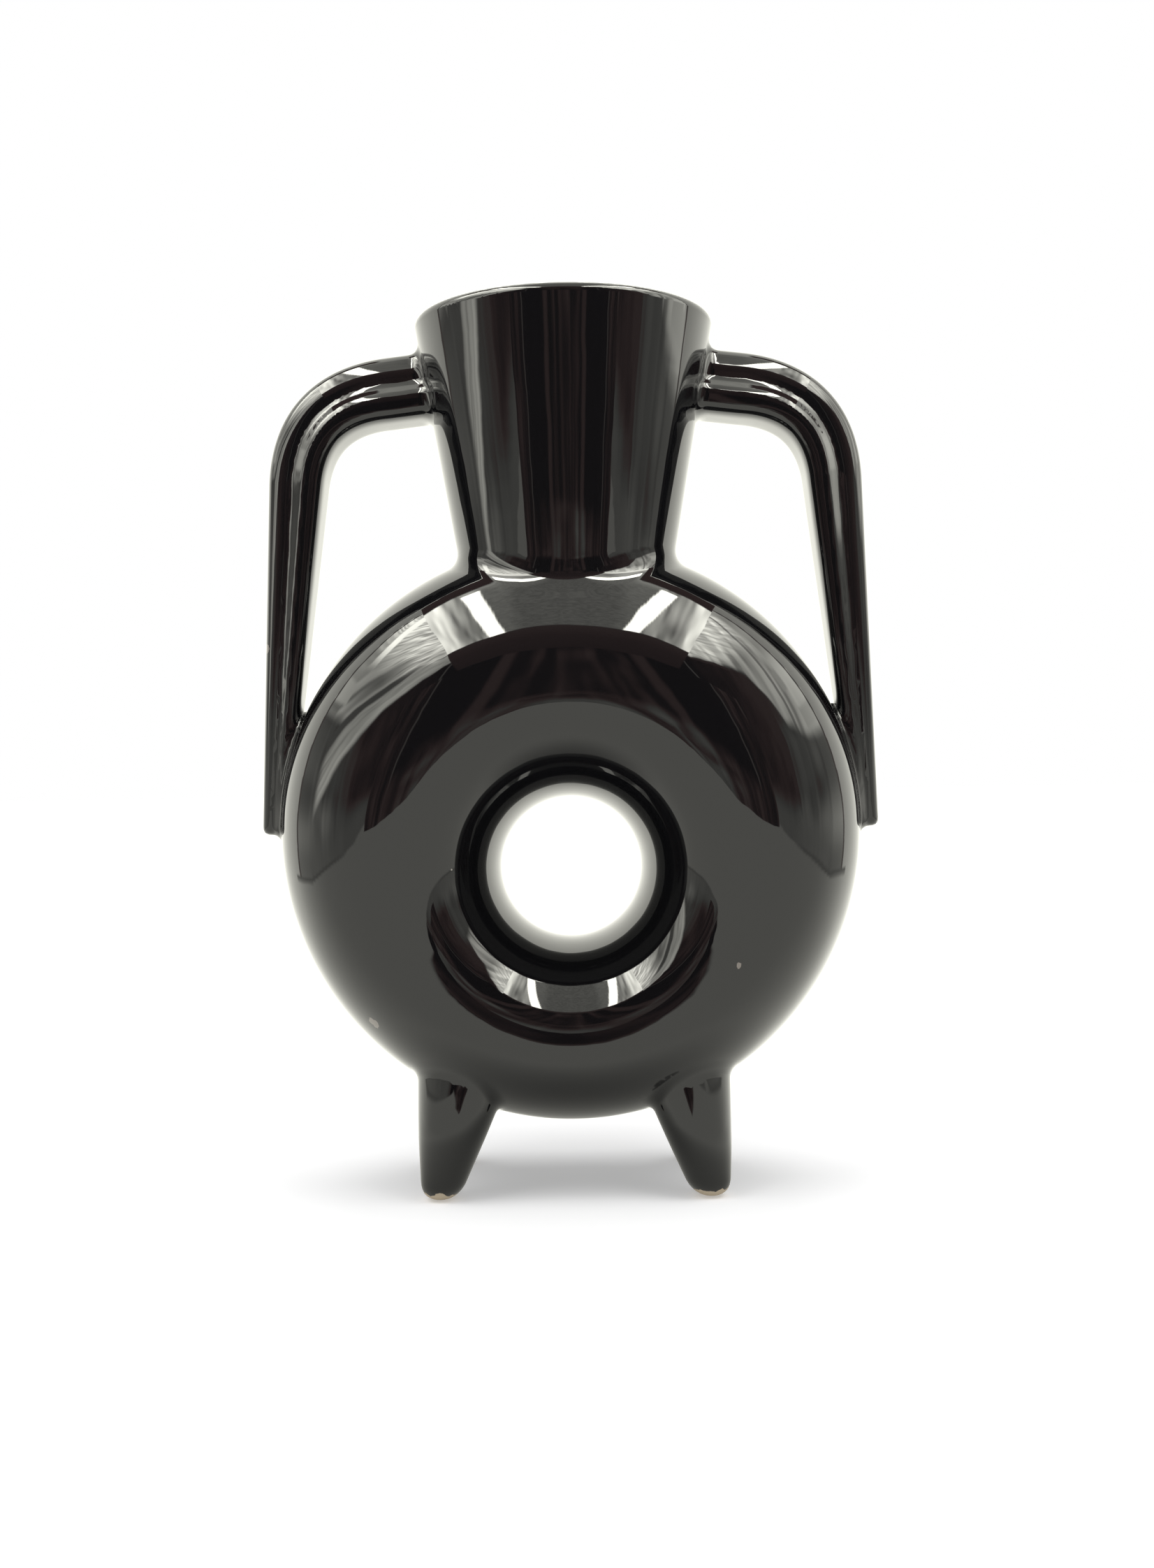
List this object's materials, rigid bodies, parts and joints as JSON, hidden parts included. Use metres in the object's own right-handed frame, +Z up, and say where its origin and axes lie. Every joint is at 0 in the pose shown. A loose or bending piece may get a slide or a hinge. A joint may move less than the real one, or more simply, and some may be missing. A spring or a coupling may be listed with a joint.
{
  "type": "ring vase",
  "caption": "Hollow ring-shaped ceramic vase with a round hole through its body, a flared neck, side handles and tapered feet, in glossy black glaze.",
  "frame": {"origin": "middle of the footprint, on the table the feet rest on", "axes": "+Z up towards the rim, +X towards one handle, -Y out of the hole towards the front"},
  "size_m": [0.2152, 0.1038, 0.3],
  "materials": {
    "glaze": "smooth high-gloss black glaze over slip-cast clay, with bare clay at the tips of the feet"
  },
  "bodies": {
    "root": {"vase": "glaze"}
  },
  "joints": []
}
